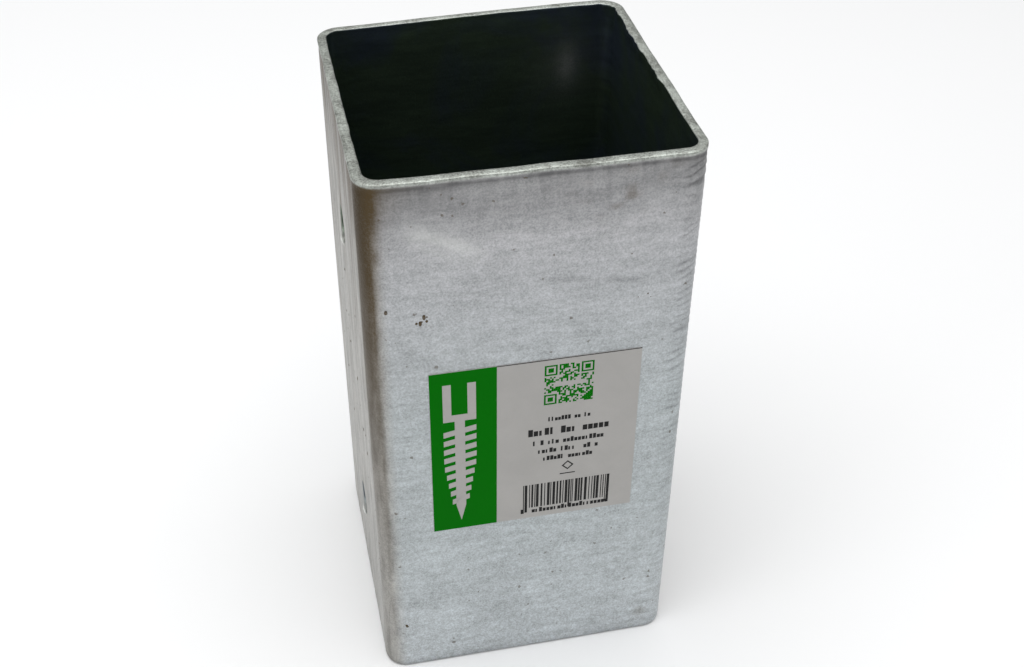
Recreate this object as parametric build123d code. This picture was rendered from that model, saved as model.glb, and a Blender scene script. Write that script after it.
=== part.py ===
"""Square post socket that is clamped on the M16 stud of a ground screw.

The sleeve is one sheet folded round four corners and closed by a weld along the front right one. A
base plate is welded inside its foot, and a washer and a nut on that plate clamp it on the stud. Two
holes in each side wall take the screws that hold the post. The origin is the centre of the foot, +Z
is up towards the mouth, and the wall with the label faces -Y. Sizes are in millimetres.
"""

from build123d import *

import os
from math import cos, radians, tan

# Sleeve
SOCKET_CLEAR = 72.0  # clear width between opposite walls
WALL = 2.0
HEIGHT = 150.0
BEND_R = 3.5  # inside radius of each folded corner
RIM_R = 0.7  # rounding of the mouth's two edges
FOOT_R = 0.4

# Holes for the post's screws, through both side walls
SCREW_HOLE_DIA = 9.0
SCREW_HOLE_LOW_Z = 27.0
SCREW_HOLE_SPACING = 90.0

# Weld along the front right corner
SEAM_ROOT = 1.2  # gap between the sheet's two edges, on the inside
SEAM_FACE = 4.0  # width of the weld on the outside
SEAM_CROWN = 0.3
SEAM_END = 1.0  # the crown stops this far short of the mouth and the foot

# Base plate
PLATE_THICK = 4.0
PLATE_RECESS = 2.0  # from the foot to the plate's underside
PLATE_GAP = 0.3  # to each wall
PLATE_CLIP = 9.0  # corners cut off, so that zinc and rain drain out
STUD_HOLE_DIA = 17.5

# Welds under the plate, one along each wall
BASE_WELD_LEG = 1.8
BASE_WELD_BULGE = 0.25
BASE_WELD_END = 2.0  # kept back from the plate's clipped corners

# M16 washer and nut
SEAT_GAP = 0.05  # between one loose piece and the next
WASHER_ID = 17.0
WASHER_OD = 30.0
WASHER_THICK = 3.0
WASHER_CHAMFER = 0.3
NUT_FLATS = 24.0
NUT_HEIGHT = 13.0
NUT_BORE_DIA = 13.84  # minor diameter of the thread
NUT_LEAD_IN = 1.0
NUT_FACE_DIA = 23.0  # round face left by the bevel at each end
NUT_BEVEL_DEG = 30.0

# Label
LABEL_SIDE = 50.0
LABEL_THICK = 0.15
LABEL_X = 0.6
LABEL_Z = 74.2

# What follows from the sizes above
OUTER = SOCKET_CLEAR + 2 * WALL
OUTER_R = BEND_R + WALL
EDGE_R_MAX = 0.45 * WALL  # two roundings share one wall
PLATE_SIDE = SOCKET_CLEAR - 2 * PLATE_GAP
PLATE_TOP = PLATE_RECESS + PLATE_THICK
WASHER_Z = PLATE_TOP + SEAT_GAP
NUT_Z = WASHER_Z + WASHER_THICK + SEAT_GAP
CUT = 1.0  # cutters run this far past what they cut


def outer_square(grown=0.0):
    """Outline of the sleeve's outside, grown by an offset."""
    side = OUTER + 2 * grown
    return RectangleRounded(side, side, OUTER_R + grown)


def inner_square():
    """Outline of the sleeve's inside."""
    return RectangleRounded(SOCKET_CLEAR, SOCKET_CLEAR, BEND_R)


def square_tube():
    """The tube with its seam still closed and its mouth and foot edges rounded."""
    hollow = Pos(0, 0, -CUT) * extrude(inner_square(), HEIGHT + 2 * CUT)
    tube = extrude(outer_square(), HEIGHT) - hollow
    tube = fillet(tube.faces().sort_by(Axis.Z)[-1].edges(), min(RIM_R, EDGE_R_MAX))
    return fillet(tube.faces().sort_by(Axis.Z)[0].edges(), min(FOOT_R, EDGE_R_MAX))


def seam_groove():
    """A wedge on the front right corner's bisector, narrow inside the corner and wide outside it."""
    slope = (SEAM_FACE - SEAM_ROOT) / 2 / WALL
    near = BEND_R - SEAM_ROOT / 2
    far = OUTER_R + SEAM_CROWN + CUT
    half_near = SEAM_ROOT / 2 - slope * (BEND_R - near)
    half_far = SEAM_ROOT / 2 + slope * (far - BEND_R)
    outline = Polygon((near, -half_near), (far, -half_far), (far, half_far), (near, half_near), align=None)
    bend_centre = OUTER / 2 - OUTER_R
    return extrude(Pos(bend_centre, -bend_centre, -CUT) * Rot(0, 0, -45) * outline, HEIGHT + 2 * CUT)


def screw_holes():
    """Two level holes, one above the other, straight through both side walls."""
    drill = Rot(0, 90, 0) * Cylinder(SCREW_HOLE_DIA / 2, OUTER + 2 * CUT)
    heights = (SCREW_HOLE_LOW_Z, SCREW_HOLE_LOW_Z + SCREW_HOLE_SPACING)
    return [Pos(0, 0, z) * drill for z in heights]


def folded_sleeve():
    """The folded sheet, open along the seam."""
    return square_tube() - seam_groove() - screw_holes()


def corner_seam_weld():
    """The weld that fills the seam, with a low crown on the outside."""
    length = HEIGHT - 2 * SEAM_END
    crown = Pos(0, 0, SEAM_END) * (extrude(outer_square(SEAM_CROWN), length) - extrude(inner_square(), length))
    groove = seam_groove()
    return (square_tube() & groove) + (crown & groove)


def base_plate():
    """A square plate with clipped corners and one hole for the stud."""
    blank = extrude(Rectangle(PLATE_SIDE, PLATE_SIDE), PLATE_THICK)
    blank = chamfer(blank.edges().filter_by(Axis.Z), PLATE_CLIP)
    hole = Pos(0, 0, PLATE_THICK / 2) * Cylinder(STUD_HOLE_DIA / 2, PLATE_THICK + 2 * CUT)
    return Pos(0, 0, PLATE_RECESS) * (blank - hole)


def base_weld():
    """A bulging fillet weld under the plate, where it meets the right wall."""
    corner = (SOCKET_CLEAR / 2, 0, PLATE_RECESS)
    on_wall = (corner[0], 0, PLATE_RECESS - BASE_WELD_LEG)
    on_plate = (corner[0] - BASE_WELD_LEG, 0, PLATE_RECESS)
    out = BASE_WELD_LEG / 2 + BASE_WELD_BULGE
    face_arc = ThreePointArc(on_wall, (corner[0] - out, 0, PLATE_RECESS - out), on_plate)
    section = make_face(Line(on_plate, corner) + Line(corner, on_wall) + face_arc)
    length = PLATE_SIDE - 2 * (PLATE_CLIP + BASE_WELD_END)
    return extrude(section, length / 2, dir=(0, 1, 0), both=True)


def flat_washer():
    """A flat washer lying on the plate, its outer rims broken."""
    ring = Cylinder(WASHER_OD / 2, WASHER_THICK) - Cylinder(WASHER_ID / 2, WASHER_THICK)
    outer_rims = ring.edges().filter_by(GeomType.CIRCLE).sort_by(SortBy.RADIUS)[-2:]
    return Pos(0, 0, WASHER_Z + WASHER_THICK / 2) * chamfer(outer_rims, WASHER_CHAMFER)


def hex_nut():
    """A hexagon nut, bevelled at both ends, its thread a plain bore with lead-ins."""
    corner_r = NUT_FLATS / 2 / cos(radians(30))
    face_r = NUT_FACE_DIA / 2
    drop = (corner_r - face_r) * tan(radians(NUT_BEVEL_DEG))
    side = Polyline(
        (0, 0, 0),
        (face_r, 0, 0),
        (corner_r, 0, drop),
        (corner_r, 0, NUT_HEIGHT - drop),
        (face_r, 0, NUT_HEIGHT),
        (0, 0, NUT_HEIGHT),
        close=True,
    )
    bevelled = revolve(make_face(side), Axis.Z)
    bore = Pos(0, 0, NUT_HEIGHT / 2) * Cylinder(NUT_BORE_DIA / 2, NUT_HEIGHT + 2 * CUT)
    hexagon = extrude(RegularPolygon(NUT_FLATS / 2, 6, major_radius=False), NUT_HEIGHT)
    nut = (hexagon & bevelled) - bore
    mouths = nut.edges().filter_by(GeomType.CIRCLE).sort_by(SortBy.RADIUS)[:2]
    return Pos(0, 0, NUT_Z) * chamfer(mouths, NUT_LEAD_IN)


def label():
    """The square label on the front wall."""
    y = -OUTER / 2 - LABEL_THICK / 2
    return Pos(LABEL_X, y, LABEL_Z) * Box(LABEL_SIDE, LABEL_THICK, LABEL_SIDE)


def main():
    """Write one STEP file for each piece."""
    pieces = {
        "folded_sleeve": folded_sleeve(),
        "corner_seam_weld": corner_seam_weld(),
        "base_plate": base_plate(),
        "flat_washer": flat_washer(),
        "hex_nut": hex_nut(),
        "label": label(),
    }
    for turn, wall in enumerate(("right", "back", "left", "front")):
        pieces[f"base_weld_{wall}"] = Rot(0, 0, 90 * turn) * base_weld()
    os.makedirs("parts", exist_ok=True)
    for name, piece in pieces.items():
        export_step(piece, f"parts/{name}.step")
        print(name, round(piece.volume, 1))


main()
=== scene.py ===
"""Looks of a square post socket for a ground screw.

A folded, hot-dip galvanised sleeve with a welded corner seam, a foot plate with its welds, a washer
and a nut, and a printed label on the front wall. Everything is in metres in the part's own frame:
+Z up the sleeve, -Y out of the wall with the label, origin in the middle of the foot.
"""

import logging
import math
from dataclasses import dataclass
from enum import Enum

import bpy
import numpy as np
from mathutils import Matrix, Vector


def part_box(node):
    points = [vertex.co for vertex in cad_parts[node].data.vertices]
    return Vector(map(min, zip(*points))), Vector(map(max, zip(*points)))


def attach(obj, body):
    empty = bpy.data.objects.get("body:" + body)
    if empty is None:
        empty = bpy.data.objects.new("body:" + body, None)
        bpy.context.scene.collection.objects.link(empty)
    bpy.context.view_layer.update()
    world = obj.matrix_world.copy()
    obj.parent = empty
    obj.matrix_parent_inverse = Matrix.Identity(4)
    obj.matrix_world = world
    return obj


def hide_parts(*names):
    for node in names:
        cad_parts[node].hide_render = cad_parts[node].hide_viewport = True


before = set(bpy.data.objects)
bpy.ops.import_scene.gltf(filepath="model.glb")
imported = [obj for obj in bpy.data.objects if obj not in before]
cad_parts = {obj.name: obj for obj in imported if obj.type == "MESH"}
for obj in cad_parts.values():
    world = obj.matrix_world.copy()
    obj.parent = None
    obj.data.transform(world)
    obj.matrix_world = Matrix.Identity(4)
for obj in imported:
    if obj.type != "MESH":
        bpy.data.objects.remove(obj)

MM = 0.001
Array = np.ndarray
Colour = tuple[float, float, float]
log = logging.getLogger("post_socket")


class Wall(Enum):
    """The sleeve's four walls, each with the direction its outside faces, in degrees from +X."""

    RIGHT = 0
    BACK = 90
    LEFT = 180
    FRONT = 270


# ---------------------------------------------------------------- shapes


def ease(t: Array) -> Array:
    """Cubic ease from 0 to 1 as t goes from 0 to 1, flat at both ends and outside them."""
    t = np.clip(t, 0.0, 1.0)
    return t * t * (3.0 - 2.0 * t)


def bump(distance: Array, width: float) -> Array:
    """Bell curve, 1 at distance 0 and 0.37 at one width."""
    return np.exp(-((distance / width) ** 2))


def noise(u: Array, v: Array, seed: int, wrap: int = 64) -> Array:
    """Smooth random heights.

    Random values from -1 to 1 stand at whole numbers of u and v, and a cubic ease joins them.

    Args:
        u: First coordinate, which repeats after wrap.
        v: Second coordinate, of the same shape.
        seed: Picks the random values.
        wrap: Whole number of cells after which u repeats.

    Returns:
        Heights from -1 to 1, shaped like u.
    """
    rows = 256
    table = np.random.default_rng(seed).uniform(-1.0, 1.0, (wrap, rows))
    u, v = np.broadcast_arrays(u, v)
    iu, iv = np.floor(u).astype(int), np.floor(v).astype(int)
    fu, fv = ease(u - iu), ease(v - iv)
    low = table[iu % wrap, iv % rows] * (1 - fu) + table[(iu + 1) % wrap, iv % rows] * fu
    high = table[iu % wrap, (iv + 1) % rows] * (1 - fu) + table[(iu + 1) % wrap, (iv + 1) % rows] * fu
    return low * (1 - fv) + high * fv


def grid_faces(index: Array, wrap_rows: bool = False, wrap_cols: bool = False) -> Array:
    """Quads between neighbouring entries of a grid of vertex numbers.

    Args:
        index: Vertex numbers, rows by columns.
        wrap_rows: Join the last row to the first.
        wrap_cols: Join the last column to the first.

    Returns:
        Vertex numbers of the quads, n by 4.
    """
    if wrap_rows:
        index = np.vstack([index, index[:1]])
    if wrap_cols:
        index = np.hstack([index, index[:, :1]])
    quads = [index[:-1, :-1], index[:-1, 1:], index[1:, 1:], index[1:, :-1]]
    return np.stack(quads, axis=-1).reshape(-1, 4)


def signed_volume(points: Array, groups: list[Array]) -> float:
    """Volume inside a closed mesh, negative where its faces point inwards.

    Args:
        points: Vertex places, n by 3.
        groups: Faces as arrays of vertex numbers.

    Returns:
        The volume.
    """
    total = 0.0
    for faces in groups:
        for k in range(1, faces.shape[1] - 1):
            a, b, c = points[faces[:, 0]], points[faces[:, k]], points[faces[:, k + 1]]
            total += float(np.einsum("ij,ij->i", a, np.cross(b, c)).sum()) / 6.0
    return total


def link_new(name: str, data: bpy.types.ID) -> bpy.types.Object:
    """Make an object of a mesh, a light or a camera, and link it to the scene.

    Args:
        name: Name of the object.
        data: Its mesh, light or camera.

    Returns:
        The object.
    """
    thing = bpy.data.objects.new(name, data)
    bpy.context.scene.collection.objects.link(thing)
    return thing


def mesh_object(
    name: str,
    points: Array,
    groups: list[Array],
    masks: dict[str, Array] | None = None,
    crease: float = 50.0,
) -> bpy.types.Object:
    """Make a closed mesh whose faces point outwards.

    Args:
        name: Name of the object.
        points: Vertex places in metres, n by 3.
        groups: Faces as arrays of vertex numbers, one array for each number of corners.
        masks: Values from 0 to 1 for each vertex, by name, which the finishes read.
        crease: Edges that turn by more than this many degrees are shaded sharp.

    Returns:
        The new object, linked to the scene.
    """
    groups = [g for g in groups if len(g)]
    used, flat = np.unique(np.concatenate([g.ravel() for g in groups]), return_inverse=True)
    points = points[used]
    cuts = np.cumsum([g.size for g in groups])[:-1]
    groups = [part.reshape(g.shape) for part, g in zip(np.split(flat.ravel(), cuts), groups)]
    if signed_volume(points, groups) < 0:
        groups = [g[:, ::-1] for g in groups]
    mesh = bpy.data.meshes.new(name)
    mesh.vertices.add(len(points))
    mesh.vertices.foreach_set("co", points.astype(np.float32).ravel())
    corners = np.concatenate([g.ravel() for g in groups]).astype(np.int32)
    mesh.loops.add(len(corners))
    mesh.loops.foreach_set("vertex_index", corners)
    sizes = np.concatenate([np.full(len(g), g.shape[1]) for g in groups])
    starts = np.concatenate([[0], np.cumsum(sizes)[:-1]]).astype(np.int32)
    mesh.polygons.add(len(sizes))
    mesh.polygons.foreach_set("loop_start", starts)
    mesh.update(calc_edges=True)
    mesh.shade_smooth()
    mesh.set_sharp_from_angle(angle=math.radians(crease))
    for key, values in (masks or {}).items():
        layer = mesh.attributes.new(key, "FLOAT", "POINT")
        layer.data.foreach_set("value", np.clip(values, 0.0, 1.0).ravel()[used].astype(np.float32))
    return link_new(name, mesh)


def tube_faces(rows: int, cols: int) -> list[Array]:
    """Faces of a closed tube: rows rings of cols points each, with a flat cap on both ends."""
    index = np.arange(rows * cols).reshape(rows, cols)
    return [grid_faces(index, wrap_cols=True), index[:1, ::-1], index[-1:]]


def ring_faces(rows: int, cols: int) -> list[Array]:
    """Faces of a doughnut: a loop of rows points carried round cols places, closed both ways."""
    return [grid_faces(np.arange(rows * cols).reshape(rows, cols), wrap_rows=True, wrap_cols=True)]


def axes(facing: float) -> tuple[Array, Array]:
    """The unit vector that faces this many radians from +X, and the one a quarter turn further."""
    out = np.array([math.cos(facing), math.sin(facing)])
    return out, np.array([-math.sin(facing), math.cos(facing)])


def turned(r: Array, angle: Array, z: Array) -> Array:
    """Places at radius r, angle and height z about the vertical axis, n by 3."""
    return np.stack([r * np.cos(angle), r * np.sin(angle), z], axis=-1).reshape(-1, 3)


def soft_polygon(angle: Array, facing: Array, distance: Array, sharpness: float) -> Array:
    """Radius of a polygon with slightly round corners.

    Each side is a line at its distance from the middle, facing its own way. The radius is the inverse
    of a power mean of what each line allows in that direction.

    Args:
        angle: Directions to measure in, in radians.
        facing: The way each side faces, in radians.
        distance: Distance of each side from the middle.
        sharpness: Power of the mean: the higher, the sharper the corners.

    Returns:
        Radius for each angle.
    """
    towards = np.clip(np.cos(angle[:, None] - facing[None, :]), 0.0, None) / distance[None, :]
    return 1.0 / (towards**sharpness).sum(axis=1) ** (1.0 / sharpness)


# ---------------------------------------------------------------- finishes


class Nodes:
    """A node tree with short ways to add, set and join nodes."""

    def __init__(self, tree: bpy.types.NodeTree) -> None:
        """Keep the tree."""
        self.tree = tree

    def add(self, kind: str, settings: dict | None = None, **inputs: object) -> bpy.types.Node:
        """Add a node.

        Args:
            kind: Node type without its ShaderNode prefix.
            settings: Properties of the node.
            **inputs: Input sockets by name, with _ for a space: a value, or a socket to join.

        Returns:
            The node.
        """
        node = self.tree.nodes.new(f"ShaderNode{kind}")
        for key, value in (settings or {}).items():
            setattr(node, key, value)
        for key, value in inputs.items():
            self.feed(node, key.replace("_", " "), value)
        return node

    def feed(self, node: bpy.types.Node, key: str | int, value: object) -> None:
        """Set an input socket of a node, or join another socket to it."""
        if isinstance(value, bpy.types.NodeSocket):
            self.tree.links.new(value, node.inputs[key])
        else:
            node.inputs[key].default_value = value

    def math(
        self, operation: str, a: object, b: object = 0.0, clamp: bool = False
    ) -> bpy.types.NodeSocket:
        """Result of a Math node on two values or sockets.

        Args:
            operation: What the node does.
            a: First value or socket.
            b: Second value or socket.
            clamp: Hold the result between 0 and 1.

        Returns:
            Socket of the result.
        """
        node = self.add("Math", {"operation": operation, "use_clamp": clamp})
        self.feed(node, 0, a)
        self.feed(node, 1, b)
        return node.outputs[0]

    def span(
        self, value: object, low: float, high: float, to_low: float = 0.0, to_high: float = 1.0
    ) -> bpy.types.NodeSocket:
        """value carried from one range to another, and held at its ends.

        Args:
            value: Value or socket to carry.
            low: Start of its range.
            high: End of its range.
            to_low: Result at low.
            to_high: Result at high.

        Returns:
            Socket of the result.
        """
        node = self.add("MapRange", {"clamp": True}, Value=value, From_Min=low, From_Max=high)
        self.feed(node, "To Min", to_low)
        self.feed(node, "To Max", to_high)
        return node.outputs["Result"]

    def blend(self, share: object, a: object, b: object) -> bpy.types.NodeSocket:
        """Colour a turning into colour b as share goes from 0 to 1.

        Args:
            share: Value or socket from 0 to 1.
            a: Colour or socket at 0.
            b: Colour or socket at 1.

        Returns:
            Socket of the colour.
        """
        node = self.add("Mix", {"data_type": "RGBA"})
        self.feed(node, 0, share)
        self.feed(node, 6, a if isinstance(a, bpy.types.NodeSocket) else (*a, 1.0))
        self.feed(node, 7, b if isinstance(b, bpy.types.NodeSocket) else (*b, 1.0))
        return node.outputs[2]

    def mix(self, share: object, a: object, b: object) -> bpy.types.NodeSocket:
        """Value a turning into value b as share goes from 0 to 1.

        Args:
            share: Value or socket from 0 to 1.
            a: Value or socket at 0.
            b: Value or socket at 1.

        Returns:
            Socket of the value.
        """
        node = self.add("Mix", {"data_type": "FLOAT"})
        for socket, value in ((0, share), (2, a), (3, b)):
            self.feed(node, socket, value)
        return node.outputs[0]

    def weigh(self, *terms: tuple[object, float]) -> bpy.types.NodeSocket:
        """Sum of values, each times its weight.

        Args:
            *terms: Pairs of a value or socket and its weight.

        Returns:
            Socket of the sum.
        """
        total = self.math("MULTIPLY", *terms[0])
        for value, weight in terms[1:]:
            total = self.math("ADD", total, self.math("MULTIPLY", value, weight))
        return total

    def mask(self, name: str) -> bpy.types.NodeSocket:
        """A mask that the mesh carries, by name."""
        return self.add("Attribute", {"attribute_name": name}).outputs["Fac"]

    def place(self) -> bpy.types.NodeSocket:
        """Place on the object, in metres."""
        return self.add("TexCoord").outputs["Object"]

    def group(self, tree: bpy.types.NodeTree, **inputs: object) -> bpy.types.Node:
        """Place a node group with its own values.

        Args:
            tree: The group.
            **inputs: Its inputs by name, with _ for a space: values, or sockets to join.

        Returns:
            The node.
        """
        node = self.tree.nodes.new("ShaderNodeGroup")
        node.node_tree = tree
        for key, value in inputs.items():
            self.feed(node, key.replace("_", " "), value)
        return node


def new_material(name: str) -> tuple[bpy.types.Material, Nodes, bpy.types.Node]:
    """Start a material: itself, its nodes and its Principled shader.

    Args:
        name: Name of the material.

    Returns:
        The material, its nodes and its Principled shader.
    """
    material = bpy.data.materials.new(name)
    material.use_nodes = True
    return material, Nodes(material.node_tree), material.node_tree.nodes["Principled BSDF"]


def new_group(
    name: str, inputs: dict[str, str], outputs: list[str]
) -> tuple[Nodes, dict, bpy.types.Node]:
    """Start a shader node group.

    Args:
        name: Name of the group.
        inputs: Input names with their kinds: Vector or Float.
        outputs: Names of the values it puts out.

    Returns:
        The group's nodes, its input sockets by name, and its output node.
    """
    tree = bpy.data.node_groups.new(name, "ShaderNodeTree")
    for key, kind in inputs.items():
        tree.interface.new_socket(name=key, in_out="INPUT", socket_type=f"NodeSocket{kind}")
    for key in outputs:
        tree.interface.new_socket(name=key, in_out="OUTPUT", socket_type="NodeSocketFloat")
    nodes = Nodes(tree)
    start = tree.nodes.new("NodeGroupInput")
    return nodes, {k: start.outputs[k] for k in inputs}, tree.nodes.new("NodeGroupOutput")


def zinc_mottle_group() -> bpy.types.NodeTree:
    """Cloudy patches and fine grain of a zinc coat, both from 0 to 1.

    Returns:
        The group's tree.
    """
    inputs = {"Vector": "Vector", "Cloud Size": "Float", "Grain Size": "Float"}
    nodes, ins, out = new_group("zinc_mottle", inputs, ["Cloud", "Grain"])
    cloud = nodes.add("TexNoise", Vector=ins["Vector"], Detail=6.0, Roughness=0.62, Distortion=0.6)
    nodes.feed(cloud, "Scale", nodes.math("DIVIDE", 1.0, ins["Cloud Size"]))
    grain = nodes.add("TexNoise", Vector=ins["Vector"], Detail=3.0, Roughness=0.7)
    nodes.feed(grain, "Scale", nodes.math("DIVIDE", 1.0, ins["Grain Size"]))
    nodes.feed(out, "Cloud", nodes.span(cloud.outputs["Fac"], 0.3, 0.7))
    nodes.feed(out, "Grain", nodes.span(grain.outputs["Fac"], 0.36, 0.64))
    return nodes.tree


def zinc_runs_group() -> bpy.types.NodeTree:
    """Streaks in a zinc coat: long in one direction and thin across it, from 0 to 1.

    Returns:
        The group's tree.
    """
    inputs = {"Vector": "Vector", "Stretch": "Vector", "Sharpness": "Float"}
    nodes, ins, out = new_group("zinc_runs", inputs, ["Runs"])
    scaled = nodes.add("VectorMath", {"operation": "MULTIPLY"})
    nodes.feed(scaled, 0, ins["Vector"])
    nodes.feed(scaled, 1, ins["Stretch"])
    shape = {"Scale": 1.0, "Detail": 4.0, "Roughness": 0.6, "Distortion": 0.3}
    lines = nodes.add("TexNoise", Vector=scaled.outputs[0], **shape)
    centred = nodes.math("SUBTRACT", lines.outputs["Fac"], 0.5)
    sharp = nodes.math("MULTIPLY", centred, ins["Sharpness"])
    nodes.feed(out, "Runs", nodes.math("ADD", sharp, 0.5, clamp=True))
    return nodes.tree


def flecks_group() -> bpy.types.NodeTree:
    """Small scattered flecks: 1 on a fleck and 0 between them.

    Each cell has one fleck in its middle. Its reach is the cell's random value to a high power, so
    most cells stay bare.

    Returns:
        The group's tree.
    """
    inputs = {"Vector": "Vector", "Spacing": "Float", "Size": "Float"}
    nodes, ins, out = new_group("flecks", inputs, ["Flecks"])
    jitter, rarity, crispness = 0.0009, 7.0, 12.0
    bent = nodes.add("TexNoise", Vector=ins["Vector"], Scale=1500.0, Detail=1.0)
    push = nodes.add("VectorMath", {"operation": "MULTIPLY_ADD"})
    nodes.feed(push, 0, bent.outputs["Color"])
    nodes.feed(push, 1, (jitter, jitter, jitter))
    nodes.feed(push, 2, ins["Vector"])
    cells = nodes.add("TexVoronoi", {"feature": "F1"}, Vector=push.outputs[0], Randomness=1.0)
    nodes.feed(cells, "Scale", nodes.math("DIVIDE", 1.0, ins["Spacing"]))
    chance = nodes.add("SeparateColor", Color=cells.outputs["Color"]).outputs[0]
    reach = nodes.math("MULTIPLY", nodes.math("POWER", chance, rarity), ins["Size"])
    near = nodes.math("SUBTRACT", reach, cells.outputs["Distance"])
    nodes.feed(out, "Flecks", nodes.math("MULTIPLY", near, crispness, clamp=True))
    return nodes.tree


@dataclass(frozen=True)
class ZincFinish:
    """Hot-dip zinc: matt grey metal with clouds, grain, runs, darker patches, soiling and painted
    shade.

    The piece carries masks. One says where it is darker grey, partly painted shade, and one where it
    is brown, from soiling and from a painted dark reflection; rim says where its raw edge is, inside
    where the hollow's wall is, painted near black as shade, side where runs go down instead of across,
    one where the coat is pale and where a glint is painted, and shade where painted shade is darkest.
    """

    name: str
    light: Colour = (0.67, 0.725, 0.745)
    upper_light: Colour = (0.69, 0.685, 0.715)
    # Painted light: the walls turn lighter towards the foot.
    lower_painted_light: Colour = (0.78, 0.83, 0.86)
    dark: Colour = (0.25, 0.262, 0.265)
    # Darkest grey, where the coat is darker and where shade is painted between the ripples, at the
    # foot and under the bead.
    worn_and_shade: Colour = (0.06, 0.06, 0.062)
    # Brown of soiling and specks, and of the painted dark reflection down the front left bend.
    soil_and_shade: Colour = (0.085, 0.058, 0.026)
    # Dark of the cracks on the walls, and of the painted shade along the front left bend.
    grime_and_shade: Colour = (0.030, 0.019, 0.007)
    side_light: Colour = (0.66, 0.64, 0.60)
    rim_dark: Colour = (0.20, 0.205, 0.185)
    rim_light: Colour = (0.62, 0.66, 0.61)
    # Painted shade: these colours keep the hollow's wall near black.
    hollow: Colour = (0.080, 0.110, 0.150)
    hollow_tint: Colour = (0.092, 0.138, 0.090)
    hollow_streak: Colour = (0.02, 0.03, 0.03)
    # Pale coat, and the painted glint on the holes' lower lips.
    pale_and_glint: Colour = (0.88, 0.90, 0.86)
    roughness: float = 0.5
    hollow_roughness: float = 0.36
    metallic: float = 0.85
    cloud: float = 7 * MM
    grain: float = 0.44 * MM
    relief: float = 0.035 * MM

    def build(self, groups: dict[str, bpy.types.NodeTree]) -> bpy.types.Material:
        """Make the material from the shared groups.

        Args:
            groups: The shared node groups by name.

        Returns:
            The material.
        """
        material, nodes, shader = new_material(self.name)
        place = nodes.place()
        small = {"Cloud_Size": self.cloud, "Grain_Size": self.grain}
        mottle = nodes.group(groups["mottle"], Vector=place, **small)
        lumps = nodes.group(groups["mottle"], Vector=place, Cloud_Size=26 * MM, Grain_Size=1.5 * MM)
        flat_stretch, upright_stretch = (95.0, 95.0, 560.0), (420.0, 420.0, 60.0)
        across = nodes.group(groups["runs"], Vector=place, Stretch=flat_stretch, Sharpness=3.0)
        down = nodes.group(groups["runs"], Vector=place, Stretch=upright_stretch, Sharpness=4.0)
        flecks = nodes.group(groups["flecks"], Vector=place, Spacing=2.2 * MM, Size=0.26)
        side, dull, soil_and_shade = (nodes.mask(key) for key in ("side", "dull", "soil_and_shade"))
        rim, inside, pale_and_glint, shade = (nodes.mask(key) for key in ("rim", "inside", "pale_and_glint", "shade"))
        cloud, grain = mottle.outputs["Cloud"], mottle.outputs["Grain"]
        broad, blotch = lumps.outputs["Cloud"], lumps.outputs["Grain"]
        runs = nodes.mix(side, across.outputs[0], down.outputs[0])
        tone = nodes.weigh((cloud, 0.15), (grain, 0.45), (blotch, 0.14), (broad, 0.06), (runs, 0.20))
        height = nodes.add("SeparateXYZ", Vector=place).outputs["Z"]
        # Painted light: lighter towards the foot.
        light = nodes.blend(nodes.span(height, 0.0, 50 * MM), self.lower_painted_light, self.light)
        light = nodes.blend(nodes.span(height, 85 * MM, 135 * MM), light, self.upper_light)
        light = nodes.blend(nodes.math("MULTIPLY", side, 0.9), light, self.side_light)
        colour = nodes.blend(tone, self.dark, light)
        walls = nodes.span(side, 0.5, 1.0, 0.05, 1.0)
        crack = nodes.math("MULTIPLY", walls, nodes.span(down.outputs[0], 0.0, 0.6, 0.24, 0.0))
        colour = nodes.blend(crack, colour, self.grime_and_shade)
        # Darker grey, with painted shade between the ripples, at the foot and under the bead.
        worn_and_shade = nodes.math("MULTIPLY", dull, nodes.span(runs, 0.0, 1.0, 1.2, 0.8), clamp=True)
        colour = nodes.blend(nodes.math("MULTIPLY", worn_and_shade, 0.8), colour, self.worn_and_shade)
        # Brown soiling, and the painted dark reflection down the front left bend.
        dirt_and_shade = nodes.math("MULTIPLY", soil_and_shade, nodes.span(tone, 0.25, 0.75, 1.10, 0.92), clamp=True)
        colour = nodes.blend(dirt_and_shade, colour, self.soil_and_shade)
        # Painted shade down the left side of the front left bend.
        colour = nodes.blend(shade, colour, self.grime_and_shade)
        colour = nodes.blend(nodes.math("MULTIPLY", flecks.outputs[0], 0.6), colour, self.soil_and_shade)
        glint = nodes.weigh((cloud, 0.45), (grain, 0.4), (blotch, 0.15))
        edge = nodes.blend(nodes.span(glint, 0.2, 0.8), self.rim_dark, self.rim_light)
        colour = nodes.blend(rim, colour, edge)
        # Painted shade: the hollow's wall turns near black, lifted at a painted light spot on the back
        # wall.
        tint = nodes.blend(nodes.span(broad, 0.25, 0.75), self.hollow, self.hollow_tint)
        streak = nodes.span(across.outputs[0], 0.0, 1.0, 0.0, 0.35)
        tint = nodes.blend(streak, tint, self.hollow_streak)
        colour = nodes.blend(inside, colour, tint)
        # Pale coat, and a painted glint that is white and not metal so that it shows bright.
        colour = nodes.blend(pale_and_glint, colour, self.pale_and_glint)
        nodes.feed(shader, "Base Color", colour)
        nodes.feed(shader, "Metallic", nodes.span(pale_and_glint, 0.3, 0.8, self.metallic, 0.0))
        rough = nodes.span(grain, 0.0, 1.0, self.roughness - 0.07, self.roughness + 0.07)
        nodes.feed(shader, "Roughness", nodes.mix(inside, rough, self.hollow_roughness))
        rise = nodes.weigh((grain, 0.9), (blotch, 0.8), (runs, 0.22), (flecks.outputs[0], -0.8))
        rise = nodes.math("MULTIPLY", rise, nodes.span(inside, 0.0, 1.0, 1.0, 0.5))
        relief = nodes.add("Bump", Height=rise, Distance=self.relief, Strength=1.0)
        nodes.feed(shader, "Normal", relief.outputs["Normal"])
        return material


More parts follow.
